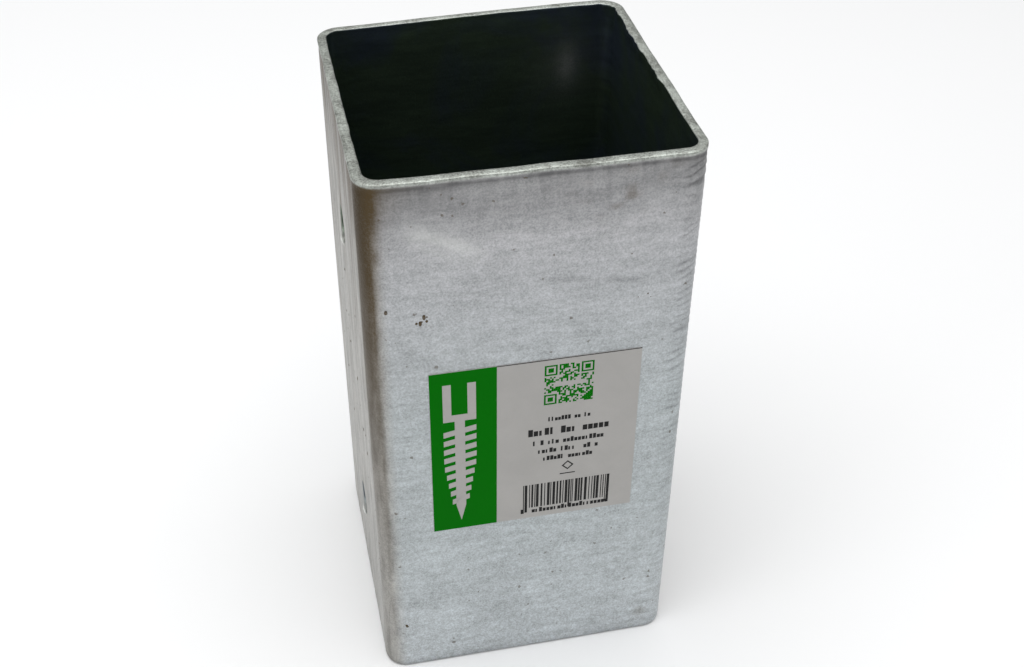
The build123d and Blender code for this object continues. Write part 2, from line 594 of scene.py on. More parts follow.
@dataclass(frozen=True)
class PrintFinish:
    """Sticker stock or ink on it: a flat colour with faint fibre and uneven gloss."""

    name: str
    colour: Colour
    roughness: float = 0.5
    unevenness: float = 0.06
    gloss: float = 0.12

    def build(self, groups: dict[str, bpy.types.NodeTree]) -> bpy.types.Material:
        """Make the material from the shared groups.

        Args:
            groups: The shared node groups by name.

        Returns:
            The material.
        """
        material, nodes, shader = new_material(self.name)
        fibre = {"Cloud_Size": 9 * MM, "Grain_Size": 0.3 * MM}
        mottle = nodes.group(groups["mottle"], Vector=nodes.place(), **fibre)
        tone = nodes.weigh((mottle.outputs["Cloud"], 0.7), (mottle.outputs["Grain"], 0.3))
        darker = tuple(c * (1 - self.unevenness) for c in self.colour)
        lighter = tuple(min(1.0, c * (1 + self.unevenness)) for c in self.colour)
        nodes.feed(shader, "Base Color", nodes.blend(tone, darker, lighter))
        low, high = self.roughness - 0.05, self.roughness + 0.05
        rough = nodes.span(mottle.outputs["Cloud"], 0.0, 1.0, low, high)
        nodes.feed(shader, "Roughness", rough)
        shader.inputs["Specular IOR Level"].default_value = self.gloss
        relief = nodes.add("Bump", Height=mottle.outputs["Grain"], Distance=0.004 * MM, Strength=0.6)
        nodes.feed(shader, "Normal", relief.outputs["Normal"])
        return material


def dress(
    piece: bpy.types.Object, material: bpy.types.Material, body: str, slot: str, *nodes: str
) -> None:
    """Give a piece its looks and its place in the part, and report it.

    Args:
        piece: The finished piece.
        material: Its finish.
        body: The body it moves with.
        slot: Name of its finish slot; not used.
        *nodes: The CAD nodes it stands for.
    """
    piece.data.materials.clear()
    piece.data.materials.append(material)
    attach(piece, body)
    if nodes:
        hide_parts(*nodes)
    log.info("%s: %d faces on body %s", piece.name, len(piece.data.polygons), body)


# ---------------------------------------------------------------- sleeve and seam


@dataclass
class Columns:
    """Upright lines that a wall profile is carried along.

    A point at radius r on a column is its centre plus r times the cosine and sine of an angle: base
    plus lean times the seam's half angle at r.
    """

    centre: Array
    base: Array
    lean: Array
    path: Array


@dataclass
class Sleeve:
    """The folded sleeve and its corner weld, as one profile carried round a rounded square.

    The profile goes up the outside, over the mouth, down the inside and under the foot. Its radius
    is counted from the centre of each corner's bend, and from the line through those centres along
    a wall. path is the distance round the outside from the middle of the seam, seen anticlockwise
    from above.
    """

    side: float
    height: float
    wall: float = 2.0 * MM
    bend_r: float = 3.5 * MM
    seam_root: float = 1.2 * MM
    seam_face: float = 4.0 * MM
    seam_crown: float = 0.22 * MM
    rim_round: float = 0.6 * MM
    step: float = 0.6 * MM
    coarse_steps: int = 5
    hole_r: float = 4.5 * MM
    hole_heights: tuple[float, float] = (27 * MM, 117 * MM)
    hole_patch: float = 6.0 * MM
    hole_lip: float = 0.45 * MM
    roundness: float = 2.4
    fine_zone: float = 6 * MM
    bead_zone: float = 3.6 * MM
    bead: float = 0.13 * MM
    ripple: float = 0.19 * MM
    ripple_gap: float = 2.0 * MM
    rim_rows: int = 11
    foot_rows: int = 7
    corner_cells: int = 8
    wall_cells: int = 56
    patch_cells: int = 5

    def __post_init__(self) -> None:
        """Work out what follows from the sizes."""
        self.outer_r = self.bend_r + self.wall
        self.half_line = self.side / 2 - self.outer_r
        self.straight = 2 * self.half_line
        self.quarter = self.outer_r * math.pi / 2
        self.around = 4 * (self.straight + self.quarter)

    def middle_of(self, wall: Wall) -> float:
        """Path at the middle of a wall."""
        order = list(Wall).index(wall)
        return self.quarter / 2 + self.straight / 2 + order * (self.straight + self.quarter)

    def from_middle(self, path: Array, wall: Wall) -> Array:
        """Signed distance along the path from the middle of a wall, by the shorter way round."""
        return (path - self.middle_of(wall) + self.around / 2) % self.around - self.around / 2

    def from_front_left(self, path: Array) -> Array:
        """Signed distance along the path from the front left bend's middle, rising to the front."""
        return self.from_middle(path, Wall.LEFT) - (self.straight + self.quarter) / 2

    def uneven(self, path: Array, z: Array, cells: int, seed: int) -> Array:
        """Noise with so many cells round the sleeve, and a cell for each whole number of z."""
        return noise(path / self.around * cells, z, seed, wrap=cells)

    def seam_half_angle(self, r: Array) -> Array:
        """Half the angle that the seam takes at radius r round its bend: its width grows outwards."""
        slope = (self.seam_face - self.seam_root) / 2 / self.wall
        return np.arcsin((self.seam_root / 2 + slope * (r - self.bend_r)) / r)

    # -- relief of the zinc coat

    def ripple_phase(self, path: Array, z: Array) -> tuple[Array, Array]:
        """Fish-scale ridges across the corner weld.

        Ridges lie one gap apart, bow away from the middle of the weld and are shifted by noise. They
        are strongest in the upper half.

        Args:
            path: Distance round the outside.
            z: Height.

        Returns:
            How far through its ridge a place is, from 0 to 1, and how strong the ridges are there.
        """
        off_seam = (path + self.around / 2) % self.around - self.around / 2
        bow = 0.09 * off_seam**2 / (4 * MM)
        shift = 1.1 * MM * noise(off_seam / (4 * MM), z / (5 * MM), 11)
        shift = shift + 1.5 * MM * noise(0 * z, z / (8 * MM), 12)
        phase = ((z + bow + shift) / self.ripple_gap) % 1.0
        side = np.clip(np.abs(off_seam) - 3.4 * MM, 0.0, None)
        reach = 1.25 * MM * (1 + 0.5 * noise(z / (5 * MM), np.sign(off_seam), 13))
        strength = 0.28 + 0.72 * ease((z - 40 * MM) / (60 * MM))
        strength = strength * (0.75 + 0.5 * noise(z / (3.3 * MM), off_seam / (5 * MM), 14))
        ends = ease((self.height - z) / (4 * MM)) * ease(z / (4 * MM))
        return phase, strength * bump(side, reach) * ends

    def ripples(self, path: Array, z: Array) -> Array:
        """Height of the ridges: each climbs slowly and drops fast."""
        phase, fade = self.ripple_phase(path, z)
        return self.ripple * (np.sin(np.pi * phase**0.5) - 0.4) * fade

    def broad_waves(self, path: Array, z: Array) -> Array:
        """Slow waves of the sheet under everything else."""
        return 0.06 * MM * self.uneven(path, z / (45 * MM), 10, 1)

    def outer_relief(self, path: Array, z: Array) -> Array:
        """How far the coat stands out: waves, runs, a bead at the mouth and the weld's ripples.

        Args:
            path: Distance round the outside.
            z: Height.

        Returns:
            Height of the coat over the nominal outside.
        """
        sides = self.side_mask(path)
        across = 0.008 * MM * self.uneven(path, z / (3.1 * MM), 40, 2) * (1 - sides)
        down = 0.03 * MM * self.uneven(path, z / (38 * MM), 120, 3) * sides
        bead = self.bead * (1 + 0.6 * self.uneven(path, 0 * path, 44, 4))
        bead = bead * bump(self.height - z - 0.6 * MM, 0.75 * MM)
        neck = 0.06 * MM * bump(self.height - z - 2.2 * MM, 0.8 * MM)
        return self.broad_waves(path, z) + across + down + bead - neck + self.ripples(path, z)

    def inner_relief(self, path: Array, z: Array) -> Array:
        """How far the coat stands into the hollow: thick and lumpy round the mouth, smooth below.

        Args:
            path: Distance round the outside.
            z: Height.

        Returns:
            Height of the coat over the nominal inside.
        """
        below = self.height - z
        lumps = np.clip(self.uneven(path, 0 * path, 140, 5) + 0.15, 0.0, None)
        along = self.from_middle(path, Wall.RIGHT)
        right_back = ease((along + 12 * MM) / (10 * MM)) * ease((46 * MM - along) / (8 * MM))
        fine = np.clip(self.uneven(path, 0 * path, 330, 11) + 0.2, 0.0, None)
        lumps = (0.62 * lumps + 0.42 * fine) * (0.10 + 0.90 * right_back) * MM
        front = 0.18 * MM * ease(1 - np.abs(self.from_middle(path, Wall.FRONT)) / (52 * MM))
        corner = self.from_front_left(path)
        thick = 0.42 * MM * bump(corner, 11 * MM)
        waves = 0.09 * MM * self.uneven(path, 0 * path, 60, 6)
        back = -0.25 * MM * ease(1 - np.abs(self.from_middle(path, Wall.BACK)) / (44 * MM))
        return (lumps + front + thick + waves + back) * bump(below - 0.6 * MM, 2.1 * MM)

    def mouth_rise(self, path: Array) -> Array:
        """How far the mouth is from its nominal height, as the sheet was cut a little out of square.

        Args:
            path: Distance round the outside.

        Returns:
            The rise, negative where the mouth is low.
        """
        back_left = self.from_middle(path, Wall.LEFT) + (self.straight + self.quarter) / 2
        back_right = self.from_middle(path, Wall.BACK) + (self.straight + self.quarter) / 2
        waves = 0.10 * MM * self.uneven(path, 0 * path, 34, 7)
        return waves - 0.8 * MM * bump(back_left, 34 * MM) + 0.3 * MM * bump(back_right, 30 * MM)

    def risen(self, path: Array, z: Array) -> Array:
        """Heights with the mouth's rise eased in over the upper part."""
        upper = 0.3 * self.height
        return z + self.mouth_rise(path) * ease((z - (self.height - upper)) / upper)

    def side_mask(self, path: Array) -> Array:
        """1 on the left and right walls and the left wall's bends, 0 on the front and back walls.

        Args:
            path: Distance round the outside.

        Returns:
            Values from 0 to 1.
        """
        left, right = (np.abs(self.from_middle(path, wall)) for wall in (Wall.LEFT, Wall.RIGHT))
        near = np.minimum(left - 6 * MM, right)
        return ease((self.straight / 2 + 3 * MM - near) / (4 * MM))

    def dull_and_shade_mask(self, path: Array, z: Array) -> Array:
        """Where it is darker grey.

        It is darker under the mouth and along one drag mark. Between the ripples, at the foot and
        under the bead the darkening is painted shade.

        Args:
            path: Distance round the outside.
            z: Height.

        Returns:
            Values, 0 where it is not darker.
        """
        down = self.height - z
        along = self.from_middle(path, Wall.FRONT)
        top = 0.42 * np.exp(-down / (2.6 * MM)) + 0.40 * (1 - ease((down - 4 * MM) / (17 * MM)))
        top = top + 0.16 * bump(along + 27 * MM, 15 * MM) * (1 - ease((down - 7 * MM) / (6 * MM)))
        top = top * (1 + 0.25 * self.uneven(path, z / (7 * MM), 36, 9))
        phase, fade = self.ripple_phase(path, z)
        # Painted shade in the troughs between the weld's ripples.
        between = 0.6 * fade * (bump(phase, 0.17) + bump(phase - 1, 0.17))
        # Painted shade along the foot.
        foot = 0.45 * np.exp(-z / (1.2 * MM))
        drag = 0.28 * bump(z - 121.4 * MM + 0.13 * (along - 2 * MM), 0.7 * MM)
        drag = drag * ease(along / (6 * MM)) * ease((27 * MM - along) / (5 * MM))
        # Painted shadow under the bead at the mouth.
        shadow_under_bead = 0.4 * bump(down - 1.7 * MM, 0.5 * MM)
        return top * 0.9 + between + foot + drag + shadow_under_bead

    def shade_mask(self, path: Array, z: Array) -> Array:
        """Painted shade, darkest down the left side of the front left bend and fading on the way.

        Args:
            path: Distance round the outside.
            z: Height.

        Returns:
            Values, 0 where no shade is painted.
        """
        down = self.height - z
        bend = self.from_front_left(path)
        ridge = ease((bend + 4.1 * MM) / (0.6 * MM)) * ease((2.6 * MM - bend) / (4.2 * MM))
        return 0.60 * ridge * np.exp(-((down / (80 * MM)) ** 1.4))

    def fresh_mask(self, path: Array, z: Array) -> Array:
        """Where the coat is paler.

        One brushed patch slants down to the right, under the front's top left.

        Args:
            path: Distance round the outside.
            z: Height.

        Returns:
            Values, 0 where it is as grey as elsewhere.
        """
        across = self.from_middle(path, Wall.FRONT)
        slant = z - 137.5 * MM + 0.52 * (across + 27 * MM)
        strokes = 0.6 + 0.7 * self.uneven(path, slant / (1.5 * MM), 40, 13)
        ends = ease((across + 30 * MM) / (5 * MM)) * ease((-9 * MM - across) / (9 * MM))
        return np.clip(0.42 * strokes * ends * bump(slant, 2.4 * MM), 0.0, 0.24)

    def soil_and_shade_mask(self, path: Array, z: Array) -> Array:
        """Where the coat is brown: soiling, and a painted dark reflection.

        It is brown over the side walls' tops, above the holes and in a few spots on the front. The
        brown band down the front left bend is painted dark reflection.

        Args:
            path: Distance round the outside.
            z: Height.

        Returns:
            Values, 0 where it is not brown.
        """
        down = self.height - z
        # Painted dark reflection, tinted brown: a band down the front left bend, strongest at the top.
        bend = self.from_front_left(path)
        reach = 0.7 * MM + 4.5 * MM * np.exp(-down / (6 * MM))
        ragged = 0.35 * MM * noise(z / (4 * MM), 0 * z, 10)
        right_side = 1.2 * MM + 0.7 * MM * np.exp(-down / (35 * MM))
        past = np.clip(bend - right_side - ragged, 0.0, None)
        band = ease((bend + 4.3 * MM) / (0.8 * MM)) * np.exp(-past / reach)
        band = band * (0.06 + 0.92 * np.exp(-((down / (84 * MM)) ** 1.5)))
        across = self.from_middle(path, Wall.FRONT)
        stain = 0.5 * bump(across - 31 * MM, 1.6 * MM) * bump(z - 6.8 * MM, 1.5 * MM)
        patchy = np.clip(self.uneven(path, z / (2.2 * MM), 90, 12), 0.0, None)
        stain = stain + 0.75 * patchy * bump(across - 21 * MM, 9 * MM) * bump(z - 143 * MM, 6 * MM)
        side = self.side_mask(path) * (0.15 + 0.50 * np.exp(-down / (32 * MM)))
        side = side * (0.8 + 0.7 * self.uneven(path, z / (24 * MM), 150, 8))
        drip = 0.0 * path
        for wall in (Wall.LEFT, Wall.RIGHT):
            for height in self.hole_heights:
                rise = z - height - self.hole_r
                trail = ease(rise / MM + 2) * ease(1 - rise / (7 * MM))
                drip = drip + bump(self.from_middle(path, wall), 0.9 * MM) * trail
        return band + stain + side * (1 - band) + 0.7 * drip

    # -- surfaces

    def rows(self, step: float) -> Array:
        """Heights of the rows outside, a step apart up to the bead and half as far over it.

        Args:
            step: Distance between the rows below the bead.

        Returns:
            Heights, rising.
        """
        low = np.arange(self.step, self.height - self.bead_zone + step / 2, step)
        half = self.step / 2
        high = np.arange(low[-1] + half, self.height - self.rim_round / 2, half)
        return np.concatenate([low, high])

    def sleeve_columns(self) -> Columns:
        """Columns of the sleeve, from one edge of the seam round to the other.

        Returns:
            The columns, anticlockwise from above.
        """
        rows: list[tuple[Array, Array, Array, Array]] = []
        quarter, half_angle = math.radians(90), math.radians(45)
        start = 0.0
        seam_reach = float(self.seam_half_angle(np.array(self.outer_r))) * self.outer_r
        for turn in range(5):
            facing = turn * quarter
            corner = facing - half_angle
            centre = math.sqrt(2) * self.half_line * np.array([math.cos(corner), math.sin(corner)])
            low, high = (0.0 if turn else 0.5), (1.0 if turn < 4 else 0.5)
            t = np.linspace(low, high, int(self.corner_cells * (high - low)) + 1)
            lean = (1 - t) * 2 * (turn == 0) - t * 2 * (turn == 4)
            angle = corner - half_angle + t * quarter
            path = start + (t - low) * self.quarter + lean * seam_reach
            rows.append((np.tile(centre, (len(t), 1)), angle, lean, path))
            start += (high - low) * self.quarter
            if turn == 4:
                break
            u = np.linspace(0.0, 1.0, self.wall_cells + 1)[1:-1]
            out, along = axes(facing)
            line = out * self.half_line + np.outer((2 * u - 1) * self.half_line, along)
            rows.append((line, np.full(len(u), facing), np.zeros(len(u)), start + u * self.straight))
            start += self.straight
        return Columns(*(np.concatenate(part) for part in zip(*rows)))

    def seam_columns(self, cells: int = 12) -> Columns:
        """Columns of the weld, from one edge of the seam to the other.

        Args:
            cells: Number of strips across the weld.

        Returns:
            The columns, anticlockwise from above.
        """
        u = np.linspace(-1.0, 1.0, cells + 1)
        centre = np.tile([self.half_line, -self.half_line], (cells + 1, 1))
        half = float(self.seam_half_angle(np.array(self.outer_r)))
        return Columns(centre, np.full(cells + 1, math.radians(-45)), u, u * half * self.outer_r)

    def place(self, cols: Columns, r: Array, z: Array) -> Array:
        """Points at radius r and height z on each column, rows by columns by 3.

        Args:
            cols: The columns.
            r: Radius of each point.
            z: Height of each point before the mouth's rise.

        Returns:
            Places, rows by columns by 3.
        """
        angle = cols.base + cols.lean * self.seam_half_angle(r)
        x = cols.centre[:, 0] + r * np.cos(angle)
        y = cols.centre[:, 1] + r * np.sin(angle)
        return np.stack([x, y, self.risen(cols.path, z)], axis=-1)

    def wrapped_profile(
        self, cols: Columns, outer_z: Array, inner_z: Array, crown: Array
    ) -> tuple[Array, Array, Array]:
        """The closed wall profile on every column.

        The mouth and the foot are flattened ellipses that join the two faces of the wall.

        Args:
            cols: The columns.
            outer_z: Heights of the rows outside, rising.
            inner_z: Heights of the rows inside, falling.
            crown: Extra radius of each column on the outside.

        Returns:
            Radius, height and share of the way inside, each rows by columns.
        """
        path = cols.path[None, :]
        body = ease(np.minimum(outer_z, self.height - outer_z) / (2.5 * MM))[:, None]
        outer = self.outer_r + self.outer_relief(path, outer_z[:, None]) + crown[None, :] * body
        inner = self.bend_r - self.inner_relief(path, inner_z[:, None])

        def cap(a: Array, b: Array, z: float, tall: float, count: int) -> tuple[Array, Array]:
            """Rows of a flattened ellipse from radius a over to radius b.

            Args:
                a: Radius where it starts.
                b: Radius where it ends.
                z: Height of both its ends.
                tall: How far it stands out from there.
                count: Number of rows.

            Returns:
                Radius and height, each rows by columns.
            """
            t = np.linspace(0.0, math.pi, count + 2)[1:-1, None]
            power = 2 / self.roundness
            reach = np.sign(np.cos(t)) * np.abs(np.cos(t)) ** power
            return (a + b) / 2 + (a - b) / 2 * reach, z + tall * np.sin(t) ** power + 0 * path

        rim_r, rim_z = cap(outer[-1], inner[0], outer_z[-1], self.height - outer_z[-1], self.rim_rows)
        foot_r, foot_z = cap(inner[-1], outer[0], outer_z[0], -outer_z[0], self.foot_rows)
        r = np.vstack([outer, rim_r, inner, foot_r])
        z = np.vstack([outer_z[:, None] + 0 * path, rim_z, inner_z[:, None] + 0 * path, foot_z])
        over, under = np.linspace(0, 1, self.rim_rows), np.linspace(1, 0, self.foot_rows)
        flip = np.concatenate([np.zeros(len(outer_z)), over, np.ones(len(inner_z)), under])
        return r, z, flip[:, None] + 0 * path

    def end_caps(self, outer_z: Array, inner_z: Array, index: Array) -> list[Array]:
        """Faces that close the two ends of the sleeve, or the two flanks of the weld.

        Each takes the rows outside between two neighbouring rows inside. The mouth and the foot take
        one each.

        Args:
            outer_z: Heights of the rows outside, rising.
            inner_z: Heights of the rows inside, falling.
            index: Vertex numbers, rows by columns.

        Returns:
            Faces grouped by their number of corners.
        """
        outer_rows = np.arange(len(outer_z))
        top = len(outer_z) - 1
        first_inside = top + self.rim_rows + 1
        inner_rows = first_inside + np.arange(len(inner_z))
        twin = np.searchsorted(outer_z, inner_z[::-1] - self.step / 4)
        rising = inner_rows[::-1]
        spans = np.diff(twin)
        faces: dict[int, list[Array]] = {}
        for column, reverse in ((0, False), (-1, True)):
            ends = index[:, column]
            for span in np.unique(spans):
                at = np.flatnonzero(spans == span)
                outside = outer_rows[twin[at][:, None] + np.arange(span + 1)[None, :]]
                ring = np.hstack([outside, rising[at + 1][:, None], rising[at][:, None]])
                faces.setdefault(ring.shape[1], []).append(ends[ring[:, ::-1] if reverse else ring])
            rim = np.arange(top, first_inside + 1)[None, :]
            foot = np.append(np.arange(inner_rows[-1], len(ends)), 0)[None, :]
            for ring in (rim, foot):
                faces.setdefault(ring.shape[1], []).append(ends[ring[:, ::-1] if reverse else ring])
        return [np.vstack(group) for group in faces.values()]

    def hole_rings(
        self, wall: Wall, height: float, u: Array, w: Array, seed: int
    ) -> tuple[Array, ...]:
        """Rings that carry a square patch of the outside into a round hole and out to the inside.

        The square shrinks evenly to the hole's circle, turns over a quarter-round lip, goes through
        the wall and opens again. Zinc has run down to the lower lip, which is thick and pulls the
        hole in there.

        Args:
            wall: The wall with the hole.
            height: Height of the hole's centre.
            u: Distance along the path from the hole's centre, of each point of the square.
            w: Height above the hole's centre, of each point of the square.
            seed: Picks the lip's unevenness.

        Returns:
            Places (rings by points by 3), and the path, height, share of the way inside and painted
            glint of every point.
        """
        angle = np.arctan2(w, u)
        from_below = np.abs((angle + math.pi / 2 + math.pi) % (2 * math.pi) - math.pi)
        tear = 0.75 * MM * bump(from_below, 0.42)
        tear = tear + 0.10 * MM * noise(angle / math.pi * 6, 0 * angle, seed, wrap=12)
        radius = self.hole_r - tear
        circle_u, circle_w = np.cos(angle), np.sin(angle)
        shrink = np.linspace(0.0, 1.0, 6)[:, None] ** 0.8
        lip = np.linspace(0.0, math.pi / 2, 5)[1:, None]
        mouth = radius + self.hole_lip
        rim_u, rim_w = circle_u * mouth, circle_w * mouth
        flat_u, flat_w = u + (rim_u - u) * shrink, w + (rim_w - w) * shrink
        lip_r = radius + self.hole_lip * (1 - np.sin(lip))
        lip_u, lip_w = circle_u * lip_r, circle_w * lip_r
        sunk = self.hole_lip * (1 - np.cos(lip)) + 0 * angle
        drip = 0.65 * MM * bump(from_below, 0.5)
        at = self.middle_of(wall)

        def outside(uu: Array, ww: Array) -> Array:
            """Radius of the outside, raised towards the lower lip."""
            near = ease(1 - (np.hypot(uu, ww) - mouth) / (2.4 * MM))
            return self.outer_r + self.outer_relief(at + uu, height + ww) + drip * near

        def within(uu: Array, ww: Array) -> Array:
            """Radius of the inside."""
            return self.bend_r - self.inner_relief(at + uu, height + ww)

        out_lip, in_lip = outside(lip_u, lip_w) - sunk, within(lip_u, lip_w) + sunk
        r = np.vstack([outside(flat_u, flat_w), out_lip, in_lip[::-1], within(flat_u, flat_w)[::-1]])
        uu = np.vstack([flat_u, lip_u, lip_u[::-1], flat_u[::-1]])
        ww = np.vstack([flat_w, lip_w, lip_w[::-1], flat_w[::-1]])
        half = len(flat_u) + len(lip_u)
        # The bore takes the hollow's painted shade, all but its lower lip.
        ramp = np.concatenate([np.zeros(len(flat_u)), np.linspace(0.4, 1.0, len(lip_u))])[:, None]
        flip = np.vstack([ramp * (1 - 0.9 * bump(from_below, 0.5)), np.ones((half, len(angle)))])
        out, along = axes(math.radians(wall.value))
        flat = out * (self.half_line + r)[..., None] + along * uu[..., None]
        z = height + ww
        # Painted glint: a white spot on the lower lip of each hole.
        over_lip = np.linspace(1.0, 0.2, len(lip_u))
        painted_glint = np.concatenate([ease(shrink[:, 0] * 3 - 2), over_lip, np.zeros(half)])
        painted_glint = painted_glint[:, None] * bump(from_below, 0.5)
        places = np.concatenate([flat, self.risen(at + uu, z)[..., None]], axis=-1)
        return places, at + uu, z, flip, painted_glint

    def masks(self, path: Array, z: Array, flip: Array) -> dict[str, Array]:
        """Masks that the zinc finish reads.

        Args:
            path: Distance round the outside, of each vertex.
            z: Its height.
            flip: Its share of the way inside.

        Returns:
            Values for each vertex, by mask.
        """
        rim = ease(1 - (self.height - z - (0.42 - 0.40 * flip) * MM) / ((0.7 - 0.45 * flip) * MM))
        # Painted light: a pale spot on the back wall's inside, where the hollow's painted shade is
        # lifted.
        along, up = self.from_middle(path, Wall.BACK) + 25 * MM, z - 134 * MM
        painted_light_spot = 0.13 * bump(along, 9 * MM) * bump(up, 10 * MM)
        painted_light_spot = painted_light_spot + 0.42 * bump(along, 2.6 * MM) * bump(up, 5 * MM)
        bare = (1 - flip) * (1 - rim)
        return {
            "soil_and_shade": self.soil_and_shade_mask(path, z) * bare,
            "dull": self.dull_and_shade_mask(path, z) * bare,
            "shade": self.shade_mask(path, z) * bare,
            "pale_and_glint": self.fresh_mask(path, z) * bare,
            "rim": rim,
            # The hollow's painted shade, lifted at the painted light spot.
            "inside": flip * (1 - rim) * (1 - painted_light_spot),
            "side": np.maximum(self.side_mask(path), 0.55 * np.exp((z - self.height) / (13 * MM))),
        }

    def build_sleeve(self, name: str) -> bpy.types.Object:
        """Make the sleeve, open along its seam, with four holes through its side walls.

        Args:
            name: Name of the piece.

        Returns:
            The sleeve as one closed mesh.
        """
        cols = self.sleeve_columns()
        outer_z = self.rows(self.step)
        fine = outer_z > self.height - self.fine_zone
        for centre in self.hole_heights:
            fine |= np.abs(outer_z - centre) < self.hole_patch + self.step / 2
        coarse = np.arange(len(outer_z)) % self.coarse_steps == 0
        keep = fine | coarse
        keep[0] = True
        inner_z = outer_z[keep][::-1]
        r, z, flip = self.wrapped_profile(cols, outer_z, inner_z, np.zeros(len(cols.path)))
        points = self.place(cols, r, z)
        path = np.broadcast_to(cols.path, z.shape)
        index = np.arange(z.size).reshape(z.shape)
        cells = np.ones((z.shape[0], z.shape[1] - 1), bool)
        parts = [(points.reshape(-1, 3), path.ravel(), z.ravel(), flip.ravel(), np.zeros(z.size))]
        patches = []
        count = z.size
        inside_from = len(outer_z) + self.rim_rows
        holes = [(wall, height) for wall in (Wall.RIGHT, Wall.LEFT) for height in self.hole_heights]
        for number, (wall, height) in enumerate(holes):
            middle = int(np.argmin(np.abs(cols.path - self.middle_of(wall))))
            left, right = middle - self.patch_cells, middle + self.patch_cells
            low = int(np.argmin(np.abs(outer_z - height + self.hole_patch)))
            high = int(np.argmin(np.abs(outer_z - height - self.hole_patch)))
            top = inside_from + int(np.argmin(np.abs(inner_z - outer_z[high])))
            bottom = inside_from + int(np.argmin(np.abs(inner_z - outer_z[low])))
            across, up = np.arange(left, right + 1), np.arange(low, high + 1)
            wide, tall = len(across) - 1, len(up) - 1
            ring_cols = [across[:-1], np.full(tall, right), across[:0:-1], np.full(tall, left)]
            ring_rows = [np.full(wide, low), up[:-1], np.full(wide, high), up[:0:-1]]
            ring_cols, ring_rows = np.concatenate(ring_cols), np.concatenate(ring_rows)
            back_rows = bottom - (ring_rows - low)
            u = cols.path[ring_cols] - self.middle_of(wall)
            w = outer_z[ring_rows] - height
            hole = [ring[1:-1] for ring in self.hole_rings(wall, height, u, w, 20 + number)]
            inner = count + np.arange(hole[1].size).reshape(hole[1].shape)
            rings = np.vstack([index[ring_rows, ring_cols], inner, index[back_rows, ring_cols]])
            patches.append(grid_faces(rings, wrap_cols=True))
            count += inner.size
            parts.append(tuple(values.reshape(-1, *values.shape[2:]) for values in hole))
            cells[low:high, left:right] = False
            cells[top:bottom, left:right] = False
        quads = grid_faces(index, wrap_rows=True)[cells.ravel()]
        groups = [quads, *patches, *self.end_caps(outer_z, inner_z, index)]
        places, path, z, flip, painted_glint = (np.concatenate(values) for values in zip(*parts))
        masks = self.masks(path, z, flip)
        # The painted glint joins the pale coat's mask.
        masks["pale_and_glint"] = np.maximum(masks["pale_and_glint"], painted_glint)
        return mesh_object(name, places, groups, masks)

    def build_seam(self, name: str) -> bpy.types.Object:
        """Make the weld that fills the seam, with a low crown outside.

        Args:
            name: Name of the piece.

        Returns:
            The weld as one closed mesh.
        """
        cols = self.seam_columns()
        outer_z = self.rows(self.step / 2)
        crown = self.seam_crown * (1 - cols.lean**2)
        r, z, flip = self.wrapped_profile(cols, outer_z, outer_z[::-1], crown)
        path = np.broadcast_to(cols.path, z.shape)
        index = np.arange(z.size).reshape(z.shape)
        groups = [grid_faces(index, wrap_rows=True), *self.end_caps(outer_z, outer_z[::-1], index)]
        points = self.place(cols, r, z).reshape(-1, 3)
        return mesh_object(name, points, groups, self.masks(path, z, flip))


# ---------------------------------------------------------------- foot


